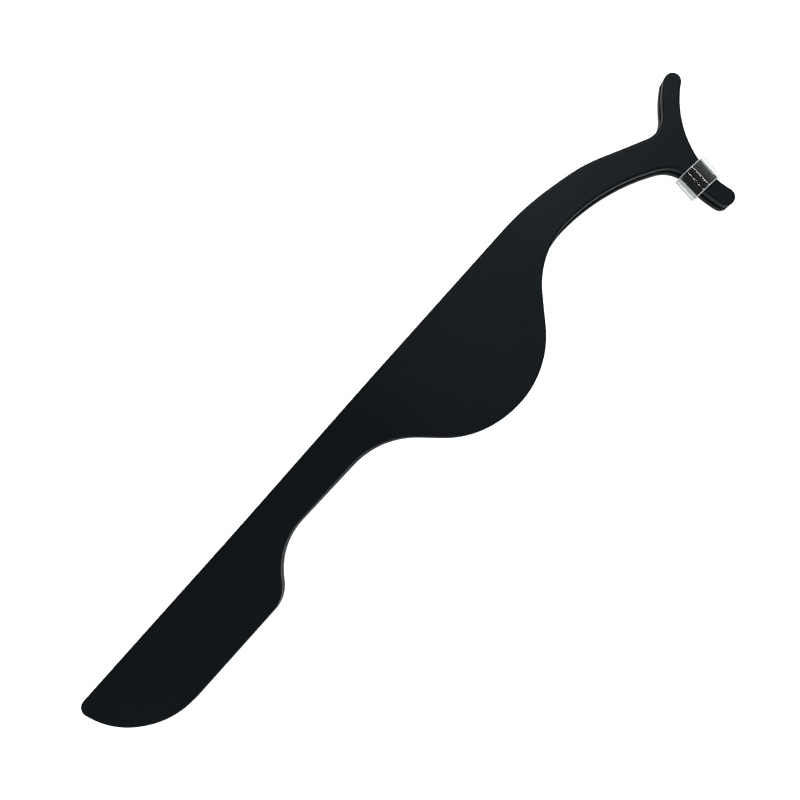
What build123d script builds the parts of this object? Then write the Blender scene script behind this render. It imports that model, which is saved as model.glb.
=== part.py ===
from build123d import *
import os

# False-eyelash applicator tweezer: two stamped steel leaves laid face to face, spot-welded at
# the tail blade, bowed apart at the finger grip and held nearly closed at the Y-shaped jaw by
# a short clear sleeve on one horn. All sizes in mm. X runs from the tail to the jaw, the finger
# grip bulges toward -Y, +Z is up, and the lower leaf's grip lies on Z = 0.

# Overall
LENGTH = 116.78
TAIL_REACH = 0.356
WIDTH = 20.31
LEAF_THK = 1.4
EDGE_ROUND = 0.25

# Bow of each leaf, as the height of its inner face from the mid plane
GRIP_HALF_GAP = 1.9
JAW_HALF_GAP = 0.3
TAIL_BEND_X = 32.5
GRIP_START_X = 57.0
GRIP_END_X = 90.0
JAW_START_X = 106.5
BEND_R = 110.0
MID_Z = GRIP_HALF_GAP + LEAF_THK

# Spring neck, where each leaf flexes
FLEX_START_X = 37.0
FLEX_END_X = 49.0

# Jaw: one ring segment, its front edge curved like an eyelid
JAW_CENTRE = (123.4, -16.2)
JAW_FRONT_R = 13.93
HORN_WIDTH = 2.4
BACK_HORN_DEG = 122.7
JAW_SWEEP_DEG = 68.4
BACK_CROTCH_R = 3.5
GRIP_CROTCH_R = 4.2
HORN_MID_R = JAW_FRONT_R + HORN_WIDTH / 2

# Clear retaining sleeve on the grip-side horn
SLEEVE_OD = 4.9
SLEEVE_WALL = 0.4
SLEEVE_LEN = 3.5
SLEEVE_DEG = 174.3
SLEEVE_RIM = 0.12

# Spot-weld nuggets between the two tail blades
NUGGET_D = 3.0
NUGGET_THK = 0.8
NUGGET_RIM = 0.3
NUGGET_X = (8.5, 16.0, 23.5)
NUGGET_Y = -5.6

# Corners of the handle outline with their blend radii, from the neck's end inside the jaw
# back along the straight back edge, round the tail and forward along the grip side
NECK_END_BACK = (111.2, -7.95)
NECK_END_GRIP = (109.2, -12.5)
OUTLINE = (
    ((98.7, -2.0), 23.9),  # neck, outer curve
    ((89.3, 0.0), 43.0),  # neck runs into the back edge
    ((-0.7, 0.0), 1.3),  # tail, back corner
    ((0.65, -5.7), 10.7),  # tail blade, end
    ((7.1, -10.95), 12.0),  # tail blade, rounded end
    ((29.0, -10.95), 4.8),  # tail blade, front corner
    ((33.9, -5.5), 9.6),  # spring neck widens into the tail blade
    ((53.7, -5.8), 11.7),  # spring neck runs into the grip
    ((62.8, -16.4), 13.3),  # grip bulge, tail side
    ((75.0, -17.5), 13.2),  # grip bulge, jaw side
    ((86.1, -5.3), 11.8),  # waist between grip and neck
    ((99.1, -6.1), 27.5),  # neck, inner curve
)

# The drawing's zero is on the back edge, a hair inside the rounded tail end: this moves it to
# the part's origin, at the middle of its plan
X0 = -LENGTH / 2 + TAIL_REACH
Y0 = WIDTH / 2
OVERHANG = 12.0
UPPER = 1
LOWER = -1


def place(point):
    """A point of the drawing in the part's frame."""
    return (point[0] + X0, point[1] + Y0)


def cut_plane(x):
    """A plane across the handle at a station of the drawing."""
    return Plane.YZ.offset(x + X0)


def leaf_plan():
    """Plan view of one leaf: the blended handle plus the ring segment of the jaw."""
    corners = [place(corner) for corner, radius in OUTLINE]
    radii = [radius for corner, radius in OUTLINE]
    with BuildSketch() as plan:
        with BuildLine():
            edge = FilletPolyline(place(NECK_END_BACK), *corners, place(NECK_END_GRIP), radius=radii)
            Line(edge @ 1, edge @ 0)
        make_face()
        horns = CenterArc(
            place(JAW_CENTRE), HORN_MID_R, BACK_HORN_DEG, JAW_SWEEP_DEG, mode=Mode.PRIVATE
        )
        SlotArc(horns, HORN_WIDTH)
        fillet(vertices().sort_by_distance(place(NECK_END_BACK))[0], BACK_CROTCH_R)
        fillet(vertices().sort_by_distance(place(NECK_END_GRIP))[0], GRIP_CROTCH_R)
    return plan.sketch


def bow_points(side, lift):
    """Corners of a leaf's side view along Y: its inner face with lift 0, else its outer face."""
    stations = (-OVERHANG, TAIL_BEND_X, GRIP_START_X, GRIP_END_X, JAW_START_X, LENGTH + OVERHANG)
    heights = (0.0, 0.0, GRIP_HALF_GAP, GRIP_HALF_GAP, JAW_HALF_GAP, JAW_HALF_GAP)
    return [(x + X0, MID_Z + side * (h + lift)) for x, h in zip(stations, heights)]


def nugget_disc(x):
    """A weld nugget: a flat disc with well-rounded rims, centred on the mid plane."""
    with BuildPart() as disc:
        with Locations((x + X0, NUGGET_Y + Y0, MID_Z)):
            Cylinder(NUGGET_D / 2, NUGGET_THK)
        fillet(edges().filter_by(GeomType.CIRCLE), NUGGET_RIM)
    return disc.part


def whole_leaf(side):
    """One stamped and bent leaf, edges eased, with its half of each weld pocket."""
    with BuildPart() as leaf:
        add(leaf_plan())
        extrude(amount=2 * MID_Z)
        with BuildSketch(Plane.XZ):
            with BuildLine():
                inner = FilletPolyline(*bow_points(side, 0), radius=BEND_R)
                outer = FilletPolyline(*bow_points(side, LEAF_THK), radius=BEND_R)
                Line(inner @ 0, outer @ 0)
                Line(inner @ 1, outer @ 1)
            make_face()
        extrude(amount=WIDTH, both=True, mode=Mode.INTERSECT)
        rims = edges().filter_by(Axis.Z, reverse=True).filter_by(Axis.Y, reverse=True)
        fillet(rims, EDGE_ROUND)
        for x in NUGGET_X:
            add(nugget_disc(x), mode=Mode.SUBTRACT)
    return leaf.part


os.makedirs("parts", exist_ok=True)
upper_leaf = whole_leaf(UPPER)
lower_leaf = whole_leaf(LOWER)

# Each leaf is one stamping. It is kept as three lengths, tail, flexing neck and arm, that meet
# face to face, so that the arm can turn.
with BuildPart() as upper_leaf_tail:
    add(upper_leaf)
    split(bisect_by=cut_plane(FLEX_START_X), keep=Keep.BOTTOM)

with BuildPart() as upper_leaf_flexure:
    add(upper_leaf)
    split(bisect_by=cut_plane(FLEX_START_X), keep=Keep.TOP)
    split(bisect_by=cut_plane(FLEX_END_X), keep=Keep.BOTTOM)

with BuildPart() as upper_leaf_arm:
    add(upper_leaf)
    split(bisect_by=cut_plane(FLEX_END_X), keep=Keep.TOP)

with BuildPart() as lower_leaf_tail:
    add(lower_leaf)
    split(bisect_by=cut_plane(FLEX_START_X), keep=Keep.BOTTOM)

with BuildPart() as lower_leaf_flexure:
    add(lower_leaf)
    split(bisect_by=cut_plane(FLEX_START_X), keep=Keep.TOP)
    split(bisect_by=cut_plane(FLEX_END_X), keep=Keep.BOTTOM)

with BuildPart() as lower_leaf_arm:
    add(lower_leaf)
    split(bisect_by=cut_plane(FLEX_END_X), keep=Keep.TOP)

# Spot welds, from the tail end forward
with BuildPart() as weld_nugget_1:
    add(nugget_disc(NUGGET_X[0]))

with BuildPart() as weld_nugget_2:
    add(nugget_disc(NUGGET_X[1]))

with BuildPart() as weld_nugget_3:
    add(nugget_disc(NUGGET_X[2]))

# The sleeve lies along the horn, square to the radius of the jaw's curve
with BuildPart() as retaining_sleeve:
    outward = Vector(1, 0, 0).rotate(Axis.Z, SLEEVE_DEG)
    seat = Vector(*place(JAW_CENTRE), MID_Z) + outward * HORN_MID_R
    with BuildSketch(Plane(origin=seat, x_dir=outward, z_dir=outward.rotate(Axis.Z, 90))):
        Circle(SLEEVE_OD / 2)
        Circle(SLEEVE_OD / 2 - SLEEVE_WALL, mode=Mode.SUBTRACT)
    extrude(amount=SLEEVE_LEN / 2, both=True)
    fillet(edges().filter_by(GeomType.CIRCLE), SLEEVE_RIM)

pieces = {
    "upper_leaf_tail": upper_leaf_tail,
    "upper_leaf_flexure": upper_leaf_flexure,
    "upper_leaf_arm": upper_leaf_arm,
    "lower_leaf_tail": lower_leaf_tail,
    "lower_leaf_flexure": lower_leaf_flexure,
    "lower_leaf_arm": lower_leaf_arm,
    "weld_nugget_1": weld_nugget_1,
    "weld_nugget_2": weld_nugget_2,
    "weld_nugget_3": weld_nugget_3,
    "retaining_sleeve": retaining_sleeve,
}
for node, piece in pieces.items():
    piece.part.label = node
    export_step(piece.part, f"parts/{node}.step")
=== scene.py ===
import math

import bpy
import bmesh
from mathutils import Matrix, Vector
from mathutils.geometry import tessellate_polygon


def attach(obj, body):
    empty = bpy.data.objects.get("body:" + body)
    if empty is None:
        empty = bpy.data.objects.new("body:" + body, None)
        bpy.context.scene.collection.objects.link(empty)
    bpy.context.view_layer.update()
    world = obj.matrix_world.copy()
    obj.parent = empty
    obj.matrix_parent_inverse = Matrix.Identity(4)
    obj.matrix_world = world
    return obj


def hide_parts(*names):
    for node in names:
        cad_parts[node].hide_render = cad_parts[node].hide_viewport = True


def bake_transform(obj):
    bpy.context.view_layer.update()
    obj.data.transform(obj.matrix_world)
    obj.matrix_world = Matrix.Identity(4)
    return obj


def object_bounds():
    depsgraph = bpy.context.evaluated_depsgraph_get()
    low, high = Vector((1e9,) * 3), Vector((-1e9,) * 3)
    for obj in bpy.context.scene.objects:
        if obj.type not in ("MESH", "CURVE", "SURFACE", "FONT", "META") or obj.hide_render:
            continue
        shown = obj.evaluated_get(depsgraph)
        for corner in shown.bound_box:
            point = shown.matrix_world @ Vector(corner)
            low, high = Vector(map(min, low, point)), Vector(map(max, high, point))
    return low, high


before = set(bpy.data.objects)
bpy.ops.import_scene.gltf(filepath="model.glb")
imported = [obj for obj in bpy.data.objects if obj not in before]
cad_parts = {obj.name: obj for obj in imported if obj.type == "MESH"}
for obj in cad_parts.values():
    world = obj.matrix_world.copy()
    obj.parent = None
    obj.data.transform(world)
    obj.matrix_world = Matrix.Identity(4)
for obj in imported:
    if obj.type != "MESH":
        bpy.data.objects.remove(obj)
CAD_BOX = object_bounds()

MM = 0.001

# ---------------------------------------------------------------- leaf drawing, in millimetres
# Zero is on the straight back edge at the tail end; the finger grip bulges toward -y.
LENGTH = 116.78
TAIL_REACH = 0.356
WIDTH = 20.31
X0 = -LENGTH / 2 + TAIL_REACH
Y0 = WIDTH / 2
LEAF_THK = 1.4
GRIP_HALF_GAP = 1.9
JAW_HALF_GAP = 0.3
MID_Z = GRIP_HALF_GAP + LEAF_THK
BEND_STATIONS = (-12.0, 32.5, 57.0, 90.0, 106.5, 128.0)
BEND_HEIGHTS = (0.0, 0.0, GRIP_HALF_GAP, GRIP_HALF_GAP, JAW_HALF_GAP, JAW_HALF_GAP)
BEND_R = 110.0

JAW_CENTRE = (123.4, -16.2)
JAW_FRONT_R = 13.93
HORN_WIDTH = 2.4
HORN_MID_R = JAW_FRONT_R + HORN_WIDTH / 2
BACK_HORN_DEG = 122.7
JAW_SWEEP_DEG = 68.4
BACK_CROTCH_R = 3.5
GRIP_CROTCH_R = 4.2

NECK_END_BACK = (111.2, -7.95)
NECK_END_GRIP = (109.2, -12.5)
OUTLINE = (
    ((98.7, -2.0), 23.9),
    ((89.3, 0.0), 43.0),
    ((-0.7, 0.0), 1.3),
    ((0.65, -5.7), 10.7),
    ((7.1, -10.95), 12.0),
    ((29.0, -10.95), 4.8),
    ((33.9, -5.5), 9.6),
    ((53.7, -5.8), 11.7),
    ((62.8, -16.4), 13.3),
    ((75.0, -17.5), 13.2),
    ((86.1, -5.3), 11.8),
    ((99.1, -6.1), 27.5),
)

SLEEVE_OD = 4.9
SLEEVE_WALL = 0.4
SLEEVE_LEN = 3.5
SLEEVE_DEG = 174.3

SLEEVE_RIM = 0.11
SLEEVE_SHOULDER = 0.35
SLEEVE_TURNS = 128
WAVE_DEPTH = 0.014
WAVE_RATE = 1.9

# ---------------------------------------------------------------- mesh fineness, in millimetres
PLAN_STEP = 0.35
STRAIGHT_STEP = 1.2
SHORTEST_STEP = 0.02
EDGE_R = 0.24
EDGE_STEPS = 6
FLAT_INSET = EDGE_R * 1.9
FIRST_SLICE_X = 1.0
SLICE_STEP = 1.5
SLICES = 77


# ---------------------------------------------------------------- plan outline of a leaf
def unit(v):
    return v / v.length


def arc(centre, radius, start, sweep):
    """Points along an arc, both ends included. Angles in radians."""
    n = max(3, int(abs(sweep) * max(radius, 1.5) / PLAN_STEP) + 1)
    return [
        centre + radius * Vector((math.cos(start + sweep * i / n), math.sin(start + sweep * i / n)))
        for i in range(n + 1)
    ]


def turn_between(a, b):
    """Signed angle from direction a to direction b."""
    return math.atan2(a.x * b.y - a.y * b.x, a.dot(b))


def corner_arc(before, here, after, radius):
    """The blend arc at a corner."""
    to_before, to_after = unit(before - here), unit(after - here)
    half = to_before.angle(to_after) / 2
    centre = here + unit(to_before + to_after) * (radius / math.sin(half))
    first = here + to_before * (radius / math.tan(half)) - centre
    last = here + to_after * (radius / math.tan(half)) - centre
    return arc(centre, radius, math.atan2(first.y, first.x), turn_between(first, last))


def crotch(line_from, line_to, radius, side):
    """Fillet between a straight neck edge and the back of the jaw ring: its centre, and where it
    meets the line and the ring. side is +1 where the open corner is left of the line."""
    centre = Vector(JAW_CENTRE)
    along = unit(line_to - line_from)
    outward = Vector((-along.y, along.x)) * side
    base = line_from + outward * radius - centre
    reach = JAW_FRONT_R + HORN_WIDTH + radius
    b = base.dot(along)
    s = -b - math.sqrt(b * b - (base.length_squared - reach * reach))
    fillet_centre = centre + base + along * s
    on_line = fillet_centre - outward * radius
    on_ring = centre + unit(fillet_centre - centre) * (JAW_FRONT_R + HORN_WIDTH)
    return fillet_centre, on_line, on_ring


def angle_of(v):
    return math.atan2(v.y, v.x)


def fillet_points(centre, radius, a, b):
    return arc(centre, radius, angle_of(a - centre), turn_between(a - centre, b - centre))


def leaf_contour():
    """Closed outline of a leaf in the drawing's millimetres, anticlockwise seen from above."""
    corners = [Vector(p) for p, r in OUTLINE]
    radii = [r for p, r in OUTLINE]
    back_end, grip_end = Vector(NECK_END_BACK), Vector(NECK_END_GRIP)
    jaw = Vector(JAW_CENTRE)
    back_horn = math.radians(BACK_HORN_DEG)
    grip_horn = math.radians(BACK_HORN_DEG + JAW_SWEEP_DEG)
    chain = [back_end] + corners + [grip_end]
    points = []
    # handle, from the jaw back along the straight edge, round the tail and forward again
    for i, radius in enumerate(radii, start=1):
        points += corner_arc(chain[i - 1], chain[i], chain[i + 1], radius)
    # grip-side crotch, then the back of the grip-side horn and its tip
    c, on_line, on_ring = crotch(corners[-1], grip_end, GRIP_CROTCH_R, -1)
    points += fillet_points(c, GRIP_CROTCH_R, on_line, on_ring)
    start = angle_of(on_ring - jaw) % (2 * math.pi)
    points += arc(jaw, JAW_FRONT_R + HORN_WIDTH, start, grip_horn - start)
    tip = jaw + HORN_MID_R * Vector((math.cos(grip_horn), math.sin(grip_horn)))
    points += arc(tip, HORN_WIDTH / 2, grip_horn, math.pi)
    # eyelid-curved front edge back to the other horn
    points += arc(jaw, JAW_FRONT_R, grip_horn, back_horn - grip_horn)
    tip = jaw + HORN_MID_R * Vector((math.cos(back_horn), math.sin(back_horn)))
    points += arc(tip, HORN_WIDTH / 2, back_horn + math.pi, math.pi)
    c, on_line, on_ring = crotch(corners[0], back_end, BACK_CROTCH_R, 1)
    end = angle_of(on_ring - jaw) % (2 * math.pi)
    points += arc(jaw, JAW_FRONT_R + HORN_WIDTH, back_horn, end - back_horn)
    points += fillet_points(c, BACK_CROTCH_R, on_ring, on_line)
    return even_points(points)


def even_points(points):
    """Fills long straight runs and drops repeats, so that the rim's faces are regular."""
    out = []
    for a, b in zip(points, points[1:] + points[:1]):
        gap = (b - a).length
        if gap < SHORTEST_STEP:
            continue
        n = max(1, round(gap / STRAIGHT_STEP))
        out += [a + (b - a) * (i / n) for i in range(n)]
    return out


def bow(x):
    """Height of a leaf's inner face over the mid plane at a station of the drawing."""
    z = BEND_HEIGHTS[0]
    slopes = [
        (h1 - h0) / (x1 - x0)
        for x0, x1, h0, h1 in zip(BEND_STATIONS, BEND_STATIONS[1:], BEND_HEIGHTS, BEND_HEIGHTS[1:])
    ]
    z += slopes[0] * (x - BEND_STATIONS[0])
    for station, before, after in zip(BEND_STATIONS[1:-1], slopes, slopes[1:]):
        half = BEND_R * abs(after - before) / 2
        past = x - (station - half)
        if past <= 0:
            continue
        if past < 2 * half:
            z += math.copysign(past * past / (2 * BEND_R), after - before)
        else:
            z += (after - before) * (x - station)
    return z


# ---------------------------------------------------------------- leaf mesh
def leaf_mesh(name, side):
    """A bent leaf with rounded rims. side is +1 for the upper leaf and -1 for the lower."""
    contour = leaf_contour()
    n = len(contour)
    normals = []
    for i in range(n):
        t = unit(contour[(i + 1) % n] - contour[i - 1])
        normals.append(Vector((t.y, -t.x)))
    quarter = [math.pi / 2 * k / EDGE_STEPS for k in range(EDGE_STEPS + 1)]
    rim = [(FLAT_INSET, 0.0)]
    rim += [(EDGE_R * (1 - math.sin(a)), EDGE_R * (1 - math.cos(a))) for a in quarter]
    rim += [(EDGE_R * (1 - math.cos(a)), LEAF_THK - EDGE_R * (1 - math.sin(a))) for a in quarter]
    rim += [(FLAT_INSET, LEAF_THK)]
    bm = bmesh.new()
    rings = []
    for inset, lift in rim:
        rings.append(
            [bm.verts.new((*(p - m * inset), lift)) for p, m in zip(contour, normals)]
        )
    for low, high in zip(rings, rings[1:]):
        for i in range(n):
            j = (i + 1) % n
            bm.faces.new((low[i], low[j], high[j], high[i]))
    cap = [v.co.copy() for v in rings[-1]]
    for a, b, c in tessellate_polygon([cap]):
        bm.faces.new((rings[-1][a], rings[-1][b], rings[-1][c]))
        bm.faces.new((rings[0][c], rings[0][b], rings[0][a]))
    for k in range(SLICES):
        x = FIRST_SLICE_X + SLICE_STEP * k
        geom = bm.verts[:] + bm.edges[:] + bm.faces[:]
        bmesh.ops.bisect_plane(bm, geom=geom, dist=1e-5, plane_co=(x, 0, 0), plane_no=(1, 0, 0))
    bmesh.ops.remove_doubles(bm, verts=bm.verts, dist=1e-4)
    for v in bm.verts:
        z = MID_Z + side * (bow(v.co.x) + v.co.z)
        v.co = Vector(((v.co.x + X0) * MM, (v.co.y + Y0) * MM, z * MM))
    bmesh.ops.recalc_face_normals(bm, faces=bm.faces)
    return finish_mesh(name, bm)


def finish_mesh(name, bm):
    mesh = bpy.data.meshes.new(name)
    bm.to_mesh(mesh)
    bm.free()
    mesh.shade_smooth()
    obj = bpy.data.objects.new(name, mesh)
    bpy.context.collection.objects.link(obj)
    return obj


# ---------------------------------------------------------------- sleeve mesh
def sleeve_mesh(name):
    """A short tube along the grip-side horn, slightly wavy, with softly broken rims."""
    out_r, in_r, half = SLEEVE_OD / 2, SLEEVE_OD / 2 - SLEEVE_WALL, SLEEVE_LEN / 2
    r = SLEEVE_RIM
    shoulder = half - SLEEVE_SHOULDER
    corner = [math.pi / 2 * k / 4 for k in range(5)]
    profile = []
    profile += [(out_r - r + r * math.sin(a), half - r + r * math.cos(a)) for a in corner]
    profile += [(out_r, shoulder), (out_r, 0.0), (out_r, -shoulder)]
    profile += [(out_r - r + r * math.cos(a), -half + r - r * math.sin(a)) for a in corner]
    profile += [(in_r + r - r * math.sin(a), -half + r - r * math.cos(a)) for a in corner]
    profile += [(in_r, -shoulder), (in_r, 0.0), (in_r, shoulder)]
    profile += [(in_r + r - r * math.cos(a), half - r + r * math.sin(a)) for a in corner]
    angle = math.radians(SLEEVE_DEG)
    outward = Vector((math.cos(angle), math.sin(angle), 0))
    along = Vector((-math.sin(angle), math.cos(angle), 0))
    up = Vector((0, 0, 1))
    seat = Vector((JAW_CENTRE[0] + X0, JAW_CENTRE[1] + Y0, MID_Z)) + outward * HORN_MID_R
    bm = bmesh.new()
    rings = []
    for k in range(SLEEVE_TURNS):
        a = 2 * math.pi * k / SLEEVE_TURNS
        radial = outward * math.cos(a) + up * math.sin(a)
        ring = []
        for rad, h in profile:
            wave = WAVE_DEPTH * math.sin(h * WAVE_RATE + a)
            ring.append(bm.verts.new((seat + radial * (rad + wave) + along * h) * MM))
        rings.append(ring)
    m = len(profile)
    for k in range(SLEEVE_TURNS):
        ring, nxt = rings[k], rings[(k + 1) % SLEEVE_TURNS]
        for i in range(m):
            j = (i + 1) % m
            face = bm.faces.new((ring[i], ring[j], nxt[j], nxt[i]))
            # the second material is on the cut ends and their rims
            nearer = min(abs(profile[i][1]), abs(profile[j][1]))
            face.material_index = int(nearer > half - r - 0.01)
    bmesh.ops.remove_doubles(bm, verts=bm.verts, dist=1e-7)
    bmesh.ops.recalc_face_normals(bm, faces=bm.faces)
    return finish_mesh(name, bm)


# ---------------------------------------------------------------- materials
def new_material(name):
    mat = bpy.data.materials.new(name)
    mat.use_nodes = True
    tree = mat.node_tree
    return mat, tree, tree.nodes["Principled BSDF"]


def noise(tree, scale, detail, rough=0.5, kind="Object"):
    coord = tree.nodes.new("ShaderNodeTexCoord")
    tex = tree.nodes.new("ShaderNodeTexNoise")
    tex.inputs["Scale"].default_value = scale
    tex.inputs["Detail"].default_value = detail
    tex.inputs["Roughness"].default_value = rough
    tree.links.new(coord.outputs[kind], tex.inputs["Vector"])
    return tex


def remap(tree, value, low, high):
    node = tree.nodes.new("ShaderNodeMapRange")
    node.inputs["From Min"].default_value = 0.3
    node.inputs["From Max"].default_value = 0.7
    node.inputs["To Min"].default_value = low
    node.inputs["To Max"].default_value = high
    tree.links.new(value, node.inputs["Value"])
    return node.outputs["Result"]


def coating():
    """Smooth satin black coating: faint orange peel, handling marks in the gloss, and a shine
    that weakens at grazing angles."""
    mat, tree, bsdf = new_material("satin_black_coating")
    bsdf.inputs["Base Color"].default_value = (0.0013, 0.0019, 0.0026, 1)
    grazing = tree.nodes.new("ShaderNodeLayerWeight")
    grazing.inputs["Blend"].default_value = 0.5
    shine = tree.nodes.new("ShaderNodeMapRange")
    shine.inputs["From Max"].default_value = 0.65
    shine.inputs["To Min"].default_value = 0.063
    shine.inputs["To Max"].default_value = 0.014
    tree.links.new(grazing.outputs["Facing"], shine.inputs["Value"])
    tree.links.new(shine.outputs["Result"], bsdf.inputs["Specular IOR Level"])
    bsdf.inputs["Specular Tint"].default_value = (0.76, 0.93, 1.0, 1)
    smudge = noise(tree, 90.0, 4.0, 0.55)
    tree.links.new(remap(tree, smudge.outputs["Fac"], 0.40, 0.47), bsdf.inputs["Roughness"])
    peel = noise(tree, 2600.0, 2.0)
    bump = tree.nodes.new("ShaderNodeBump")
    bump.inputs["Strength"].default_value = 0.05
    bump.inputs["Distance"].default_value = 0.00001
    tree.links.new(peel.outputs["Fac"], bump.inputs["Height"])
    tree.links.new(bump.outputs["Normal"], bsdf.inputs["Normal"])
    return mat


def clear_plastic():
    """Grey-tinted clear tube, glossy. Where the wall is seen edge on, its colour turns near black
    and it lets less light through: painted shade that draws the tube's dark wall lines.
    """
    mat, tree, bsdf = new_material("clear_flexible_plastic")
    bsdf.inputs["IOR"].default_value = 1.47
    edge_on = tree.nodes.new("ShaderNodeLayerWeight")
    edge_on.inputs["Blend"].default_value = 0.5
    # painted shade: this mask rises wherever the wall is seen edge on, and darkens the colour there
    painted_wall_shade = tree.nodes.new("ShaderNodeMapRange")
    painted_wall_shade.inputs["From Min"].default_value = 0.45
    painted_wall_shade.inputs["From Max"].default_value = 0.75
    tree.links.new(edge_on.outputs["Facing"], painted_wall_shade.inputs["Value"])
    # painted shade: less light passes through where the wall is seen edge on
    clarity_and_painted_shade = tree.nodes.new("ShaderNodeMapRange")
    clarity_and_painted_shade.inputs["From Min"].default_value = 0.55
    clarity_and_painted_shade.inputs["From Max"].default_value = 0.72
    clarity_and_painted_shade.inputs["To Min"].default_value = 1.0
    clarity_and_painted_shade.inputs["To Max"].default_value = 0.3
    tree.links.new(edge_on.outputs["Facing"], clarity_and_painted_shade.inputs["Value"])
    tree.links.new(clarity_and_painted_shade.outputs["Result"], bsdf.inputs["Transmission Weight"])
    # A is the tube's own grey tint; B is the near black painted shade of its edge-on walls
    tint_and_painted_shade = tree.nodes.new("ShaderNodeMix")
    tint_and_painted_shade.data_type = "RGBA"
    tint_and_painted_shade.inputs["A"].default_value = (0.50, 0.52, 0.52, 1)
    tint_and_painted_shade.inputs["B"].default_value = (0.008, 0.009, 0.010, 1)
    tree.links.new(painted_wall_shade.outputs["Result"], tint_and_painted_shade.inputs["Factor"])
    tree.links.new(tint_and_painted_shade.outputs["Result"], bsdf.inputs["Base Color"])
    haze = noise(tree, 700.0, 3.0)
    tree.links.new(remap(tree, haze.outputs["Fac"], 0.03, 0.05), bsdf.inputs["Roughness"])
    return mat


def cut_plastic():
    """The tube's cut ends, frosted by the blade."""
    mat, tree, bsdf = new_material("cut_plastic_end")
    bsdf.inputs["Base Color"].default_value = (0.52, 0.54, 0.54, 1)
    bsdf.inputs["Transmission Weight"].default_value = 0.45
    bsdf.inputs["IOR"].default_value = 1.47
    grain = noise(tree, 3000.0, 3.0)
    tree.links.new(remap(tree, grain.outputs["Fac"], 0.35, 0.6), bsdf.inputs["Roughness"])
    return mat


def weld_steel():
    mat, tree, bsdf = new_material("weld_steel")
    bsdf.inputs["Metallic"].default_value = 1.0
    bsdf.inputs["Base Color"].default_value = (0.45, 0.45, 0.46, 1)
    grain = noise(tree, 1500.0, 4.0)
    tree.links.new(remap(tree, grain.outputs["Fac"], 0.35, 0.6), bsdf.inputs["Roughness"])
    return mat


COATING = coating()
CLEAR = clear_plastic()
CUT = cut_plastic()
WELD = weld_steel()


# ---------------------------------------------------------------- the pieces
def at(x, y, z):
    """A point of the drawing, with its height over the mid plane, in the frame's metres."""
    return ((x + X0) * MM, (y + Y0) * MM, (MID_Z + z) * MM)


for side, word in ((1, "upper"), (-1, "lower")):
    leaf = leaf_mesh(f"{word}_leaf", side)
    leaf.data.materials.append(COATING)
    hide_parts(f"{word}_leaf_tail", f"{word}_leaf_flexure", f"{word}_leaf_arm")
    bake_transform(leaf)

sleeve = sleeve_mesh("clear_sleeve")
sleeve.data.materials.append(CLEAR)
sleeve.data.materials.append(CUT)
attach(sleeve, "sleeve")
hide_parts("retaining_sleeve")

for node_name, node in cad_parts.items():
    if node_name.startswith("weld_nugget"):
        for material_slot in node.material_slots:
            material_slot.material = WELD


# ---------------------------------------------------------------- floor, light and camera
def floor():
    """A pale floor that glows a little, as a light table does."""
    mat, _, bsdf = new_material("pale_floor")
    bsdf.inputs["Base Color"].default_value = (0.93, 0.93, 0.93, 1)
    bsdf.inputs["Specular IOR Level"].default_value = 0.0
    bsdf.inputs["Roughness"].default_value = 1.0
    bsdf.inputs["Emission Color"].default_value = (1, 1, 1, 1)
    bsdf.inputs["Emission Strength"].default_value = 0.8
    bpy.ops.mesh.primitive_plane_add(size=6.0, location=(0, 0, CAD_BOX[0][2]))
    plane = bpy.context.object
    plane.name = "pale_floor"
    plane.data.materials.append(mat)


def area_light(name, place, target, size, power, size_y=None):
    """A square lamp, or an oblong one where size_y is given. Metres and watts."""
    data = bpy.data.lights.new(name, "AREA")
    data.energy = power
    data.size = size
    if size_y:
        data.shape = "RECTANGLE"
        data.size_y = size_y
    lamp = bpy.data.objects.new(name, data)
    lamp.location = place
    lamp.rotation_euler = (Vector(target) - Vector(place)).to_track_quat("-Z", "Y").to_euler()
    bpy.context.collection.objects.link(lamp)
    return lamp


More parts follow.
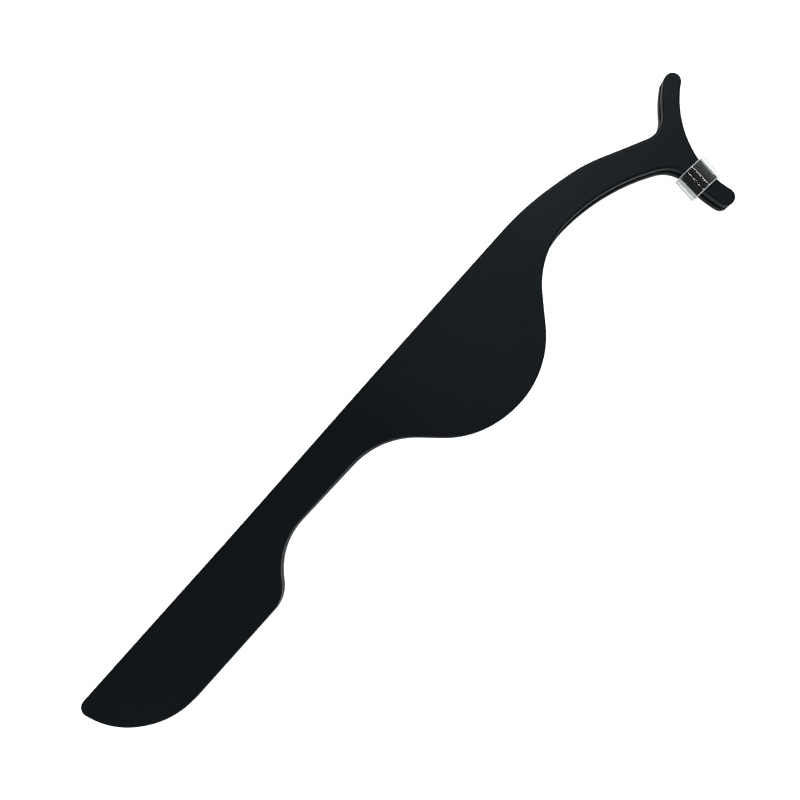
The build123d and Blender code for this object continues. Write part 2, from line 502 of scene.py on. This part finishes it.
def world_light():
    """A soft room, brighter toward the jaw than over the tail, and paler at the horizon."""
    world = bpy.data.worlds.new("studio")
    bpy.context.scene.world = world
    world.use_nodes = True
    tree = world.node_tree
    background = tree.nodes["Background"]
    coord = tree.nodes.new("ShaderNodeTexCoord")
    dot = tree.nodes.new("ShaderNodeVectorMath")
    dot.operation = "DOT_PRODUCT"
    dot.inputs[1].default_value = (0.80, 0.0, -0.60)
    tree.links.new(coord.outputs["Generated"], dot.inputs[0])
    ramp = tree.nodes.new("ShaderNodeMapRange")
    ramp.inputs["From Min"].default_value = -1.0
    ramp.inputs["From Max"].default_value = 0.6
    ramp.inputs["To Min"].default_value = 0.2
    ramp.inputs["To Max"].default_value = 1.15
    tree.links.new(dot.outputs["Value"], ramp.inputs["Value"])
    tree.links.new(ramp.outputs["Result"], background.inputs["Strength"])
    background.inputs["Color"].default_value = (0.95, 0.98, 1.0, 1)


floor()
world_light()
area_light("key", (0.35, 0.25, 0.55), (0.02, 0, 0), 0.16, 4.0)
area_light("fill", (-0.45, -0.35, 0.5), (0, 0, 0), 0.4, 2.5)
# two narrow strips, for the tube's two lengthwise highlights
area_light("strip_over_jaw", (0.12, 0.0, 0.6), (0.05, 0, 0), 0.4, 0.6, 0.026)
area_light("strip_over_tail", (-0.40, 0.0, 0.6), (0.05, 0, 0), 0.4, 0.6, 0.026)

# The camera looks straight down from close by, above the point of the handle given here, and
# sees VIEW_WIDTH at the height of the jaw's top. The handle leans 48 degrees in the image.
CAMERA_HEIGHT = 131.0
VIEW_WIDTH = 106.667
SENSOR_WIDTH = 36.0
ABOVE = (57.7, -14.2)
SHIFT = (-0.05625, 0.07)
RIGHT = unit(Vector((0.66701, -0.74505, 0)))
UP = unit(Vector((0.74505, 0.66701, 0)))

cam_data = bpy.data.cameras.new("camera")
camera = bpy.data.objects.new("camera", cam_data)
bpy.context.collection.objects.link(camera)
cam_data.sensor_width = SENSOR_WIDTH
cam_data.lens = SENSOR_WIDTH * CAMERA_HEIGHT / VIEW_WIDTH
cam_data.shift_x, cam_data.shift_y = SHIFT
cam_data.clip_start = 0.01
camera.location = at(ABOVE[0], ABOVE[1], JAW_HALF_GAP + LEAF_THK + CAMERA_HEIGHT)
turn = camera.rotation_euler.to_matrix()
turn.col[0] = RIGHT
turn.col[1] = UP
turn.col[2] = Vector((0, 0, 1))
camera.rotation_euler = turn.to_euler()
bpy.context.scene.camera = camera
bpy.context.scene.view_settings.view_transform = "Standard"
